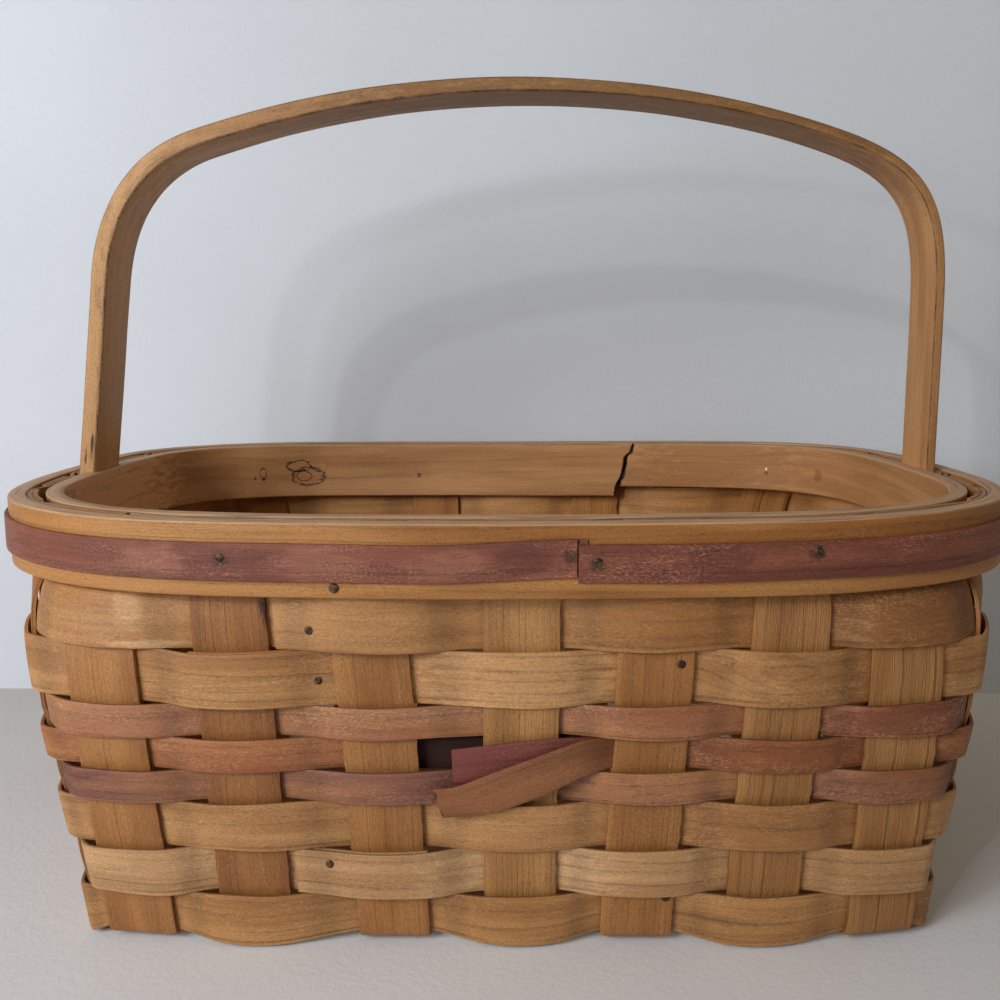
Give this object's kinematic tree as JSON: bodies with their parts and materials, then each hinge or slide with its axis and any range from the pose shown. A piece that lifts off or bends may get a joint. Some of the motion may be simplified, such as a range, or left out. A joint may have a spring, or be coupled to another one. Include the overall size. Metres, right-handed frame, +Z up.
{
  "type": "woven splint basket with handle",
  "caption": "Rectangular woven wood splint basket with a plaited base, stained rows, clamped rim bands and a fixed bentwood handle.",
  "frame": {"origin": "on the table under the middle of the basket", "axes": "+X along the basket's length, +Y from the front to the back, +Z up"},
  "size_m": [0.3632, 0.2412, 0.2926],
  "materials": {
    "upright_wood": "bare split hardwood, vertical grain",
    "weaver_natural": "bare split hardwood, lightly fuzzed",
    "weaver_rose": "worn rose stain",
    "weaver_orange": "worn orange rose stain",
    "weaver_purple": "worn purple brown stain",
    "rim_wood": "smooth bent hardwood",
    "accent_stain": "worn purple brown stain",
    "handle_wood": "smooth bent hardwood"
  },
  "bodies": {
    "root": {"upright_front_to_back_1": "upright_wood", "upright_front_to_back_2": "upright_wood", "upright_front_to_back_3": "upright_wood", "upright_front_to_back_4": "upright_wood", "upright_front_to_back_5": "upright_wood", "upright_front_to_back_6": "upright_wood", "upright_front_to_back_7": "upright_wood", "upright_end_to_end_1": "upright_wood", "upright_end_to_end_2": "upright_wood", "upright_end_to_end_3": "upright_wood", "upright_end_to_end_4": "upright_wood", "upright_end_to_end_5": "upright_wood", "weaver_under_rim": "weaver_natural", "weaver_row_1": "weaver_natural", "weaver_row_2": "weaver_natural", "weaver_row_3": "weaver_rose", "weaver_row_4_broken": "weaver_orange", "weaver_row_5": "weaver_purple", "weaver_row_6": "weaver_natural", "weaver_row_7": "weaver_natural", "weaver_row_8": "weaver_natural", "rim_outer_band": "rim_wood", "rim_inner_band": "rim_wood", "rim_accent_band": "accent_stain", "handle": "handle_wood"}
  },
  "joints": []
}
